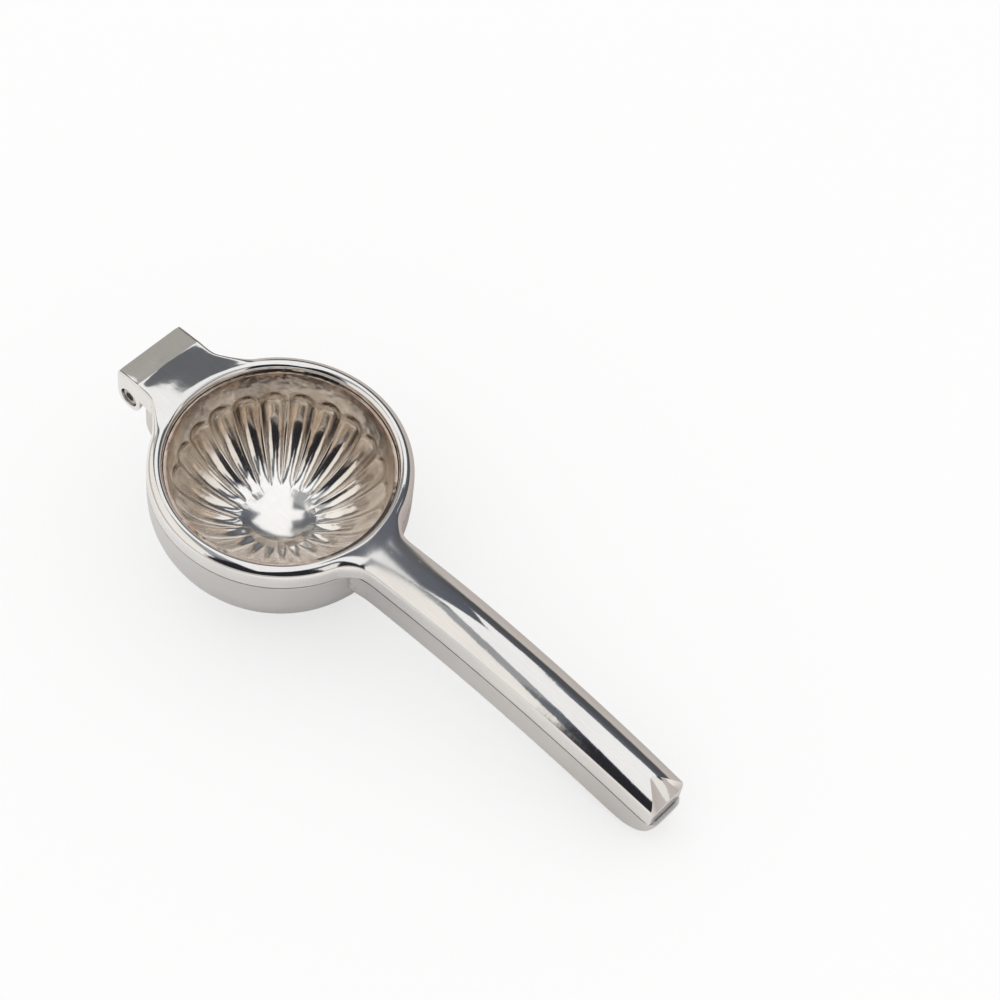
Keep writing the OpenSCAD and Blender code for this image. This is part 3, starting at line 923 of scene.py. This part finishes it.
barrel = add_piece(make_barrel(), "hinge_barrel_turned", "upper_arm", dark)
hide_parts("hinge_barrel")
mark_sharp(barrel, 40)
screw = add_piece(make_screw(), "hinge_screw_turned", "upper_arm", dark)
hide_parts("hinge_screw")
cut(screw, hex_socket())
mark_sharp(screw, 35)

for name in ("upper_liner", "lower_liner"):
    node = frame["nodes"][name]
    node.data.materials.clear()
    node.data.materials.append(inner)


# --- Floor, light and camera -----------------------------------------------------------------
ROOM_R = 2.6
CARD_FAR = 2000.0
SOFTBOX_Z = 650.0


def stage_mesh(name, bm, mat):
    mesh = bpy.data.meshes.new(name)
    bm.to_mesh(mesh)
    bm.free()
    mesh.materials.append(mat)
    obj = bpy.data.objects.new(name, mesh)
    bpy.context.collection.objects.link(obj)
    return obj


def only_in_reflections(obj):
    obj.visible_camera = False
    obj.visible_diffuse = False
    obj.visible_shadow = False
    obj.visible_transmission = False


def glow_material(name, colour):
    """An emission material: one colour, or a list of (height in metres, colour) stops."""
    mat = bpy.data.materials.new(name)
    mat.use_nodes = True
    tree = mat.node_tree
    tree.nodes.clear()
    glow = add(tree, "ShaderNodeEmission")
    end = add(tree, "ShaderNodeOutputMaterial")
    feed(tree, glow.outputs[0], end.inputs[0])
    if isinstance(colour, tuple):
        glow.inputs["Color"].default_value = (*colour, 1)
        return mat
    where = add(tree, "ShaderNodeTexCoord")
    height = add(tree, "ShaderNodeSeparateXYZ")
    feed(tree, where.outputs["Object"], height.inputs[0])
    ramp = add(tree, "ShaderNodeValToRGB")
    feed(tree, work(tree, "DIVIDE", height.outputs["Z"], ROOM_R), ramp.inputs[0])
    stops = ramp.color_ramp.elements
    while len(stops) < len(colour):
        stops.new(0.5)
    for stop, (level, shade) in zip(stops, colour):
        stop.position = level
        stop.color = (*shade, 1)
    feed(tree, ramp.outputs[0], glow.inputs["Color"])
    return mat


def make_room():
    """The studio's walls and ceiling, which polished steel mirrors."""
    bm = bmesh.new()
    bmesh.ops.create_uvsphere(bm, u_segments=48, v_segments=24, radius=ROOM_R)
    stops = [(0.0, (0.58, 0.53, 0.50)), (0.30, (0.60, 0.56, 0.53)), (0.385, (0.09, 0.085, 0.08)),
             (0.62, (0.09, 0.097, 0.115)), (0.82, (0.155, 0.17, 0.20)), (1.0, (0.105, 0.11, 0.125))]
    only_in_reflections(stage_mesh("studio walls", bm, glow_material("studio walls", stops)))


def direction(az, el):
    a, e = math.radians(az), math.radians(el)
    return Vector((math.cos(e) * math.cos(a), math.cos(e) * math.sin(a), math.sin(e)))


def panel(name, corners, shade):
    """A flat studio panel between four corners in the tool's frame, only seen in reflections."""
    bm = bmesh.new()
    bmesh.ops.create_grid(bm, x_segments=1, y_segments=1, size=1.0)
    for v in bm.verts:
        near = corners[0].lerp(corners[1], (v.co.x + 1) / 2)
        far = corners[3].lerp(corners[2], (v.co.x + 1) / 2)
        v.co = TABLE @ near.lerp(far, (v.co.y + 1) / 2)
    only_in_reflections(stage_mesh(name, bm, glow_material(name, shade)))


def card(name, az, el, shade, far=CARD_FAR):
    """A panel between two azimuths, with its lower and upper elevation at each, in degrees."""
    (left, right), (left_top, right_top) = el
    aims = ((az[0], left), (az[1], right), (az[1], right_top), (az[0], left_top))
    panel(name, [direction(a, e) * far for a, e in aims], shade)


def small_card(name, start, aim, far, half, shade):
    """A small panel close over the tool, square to the direction from the spot that mirrors it."""
    az, el = aim
    centre = Vector(start) + direction(az, el) * far
    across = direction(az + 90, 0) * half[0]
    up = direction(az, el + 90) * half[1]
    corners = [centre - across - up, centre + across - up, centre + across + up, centre - across + up]
    panel(name, corners, shade)


def make_world():
    world = bpy.data.worlds.new("studio")
    bpy.context.scene.world = world
    world.use_nodes = True
    tree = world.node_tree
    tree.nodes["Background"].inputs["Color"].default_value = (1, 1, 1, 1)
    tree.nodes["Background"].inputs["Strength"].default_value = 1.0


def make_floor():
    """A pale floor that keeps a faint shadow; polished steel mirrors its far side as warm grey and sees a
    painted shadow on it under the cup.
    """
    bm = bmesh.new()
    bmesh.ops.create_grid(bm, x_segments=1, y_segments=1, size=3.0)
    mat = bpy.data.materials.new("pale floor")
    mat.use_nodes = True
    tree = mat.node_tree
    shader = tree.nodes["Principled BSDF"]
    shader.inputs["Roughness"].default_value = 0.9
    shader.inputs["Specular IOR Level"].default_value = 0.1
    rays = add(tree, "ShaderNodeLightPath")
    where = add(tree, "ShaderNodeTexCoord")
    place = add(tree, "ShaderNodeSeparateXYZ")
    feed(tree, where.outputs["Object"], place.inputs[0])
    far_side = span(tree, place.outputs["Y"], -0.03, 0.05)
    # A band under the cup that only reflections see darker: a painted shadow.
    left = span(tree, place.outputs["X"], -0.12, -0.03)
    right = span(tree, place.outputs["X"], 0.0, 0.04, 1.0, 0.0)
    painted_cup_shadow = work(tree, "MULTIPLY", left, right)
    near = blend(tree, "MIX", painted_cup_shadow, (0.97, 0.95, 0.93, 1), (0.84, 0.83, 0.82, 1))
    mirrored = blend(tree, "MIX", far_side, near, (0.56, 0.50, 0.47, 1))
    colour = blend(tree, "MIX", rays.outputs["Is Glossy Ray"], (0.96, 0.96, 0.955, 1), mirrored)
    feed(tree, colour, shader.inputs["Base Color"])
    white = add(tree, "ShaderNodeEmission")
    soften = add(tree, "ShaderNodeMixShader")
    feed(tree, work(tree, "MULTIPLY", rays.outputs["Is Camera Ray"], 0.62), soften.inputs[0])
    feed(tree, shader.outputs[0], soften.inputs[1])
    feed(tree, white.outputs[0], soften.inputs[2])
    feed(tree, soften.outputs[0], tree.nodes["Material Output"].inputs[0])
    stage_mesh("floor", bm, mat)


def camera():
    fwd = Vector((-0.31212, 0.45823, -0.83223))
    flat_right = fwd.cross(Vector((0, 0, 1))).normalized()
    flat_up = flat_right.cross(fwd)
    roll = math.radians(10.32)
    right = flat_right * math.cos(roll) + flat_up * math.sin(roll)
    up = -flat_right * math.sin(roll) + flat_up * math.cos(roll)
    turn = TABLE.to_3x3().normalized()
    data = bpy.data.cameras.new("camera")
    data.lens = 90.0
    data.sensor_width = 36.0
    data.clip_start = 0.01
    data.clip_end = 20
    cam = bpy.data.objects.new("camera", data)
    bpy.context.collection.objects.link(cam)
    axes = Matrix((turn @ right, turn @ up, turn @ -fwd)).transposed().to_4x4()
    cam.matrix_world = Matrix.Translation(TABLE @ Vector((286.316, -303.171, 625.561))) @ axes
    bpy.context.scene.camera = cam


make_world()
make_floor()
make_room()
panel("softbox", [Vector((x, y, SOFTBOX_Z)) for x, y in ((-400, 200), (250, -476), (250, 659), (-75, 430))],
      (1.0, 1.0, 1.0))
card("cream card", (-178, -97), ((8, 8), (60, 46)), (0.97, 0.94, 0.89))
card("black card", (-95, -14), ((16, 16), (80, 80)), (0.022, 0.022, 0.028))
card("right softbox", (-14, 55), ((19, 19), (52, 52)), (0.92, 0.90, 0.87))
card("beige card", (138, 182), ((0, 0), (36, 36)), (0.55, 0.515, 0.48), 2050.0)
card("grey card", (-178, -105), ((40, 40), (84, 84)), (0.36, 0.37, 0.385), 2100.0)
panel("window", [direction(az, el) * CARD_FAR for az, el in ((145, 31), (102, 44), (94, 75), (180, 57))],
      (1.0, 1.0, 1.0))
small_card("hinge card", (-54, 0, 7), (151, 40), 130.0, (40.0, 21.0), (0.42, 0.405, 0.38))
small_card("hinge flag", (-44, 1, 7), (130, 54), 50.0, (16.0, 8.5), (0.13, 0.138, 0.15))
small_card("root flag", (51, 4, 8), (126, 57), 60.0, (25.0, 22.0), (0.10, 0.11, 0.135))
camera()
bpy.context.scene.view_settings.view_transform = "Standard"
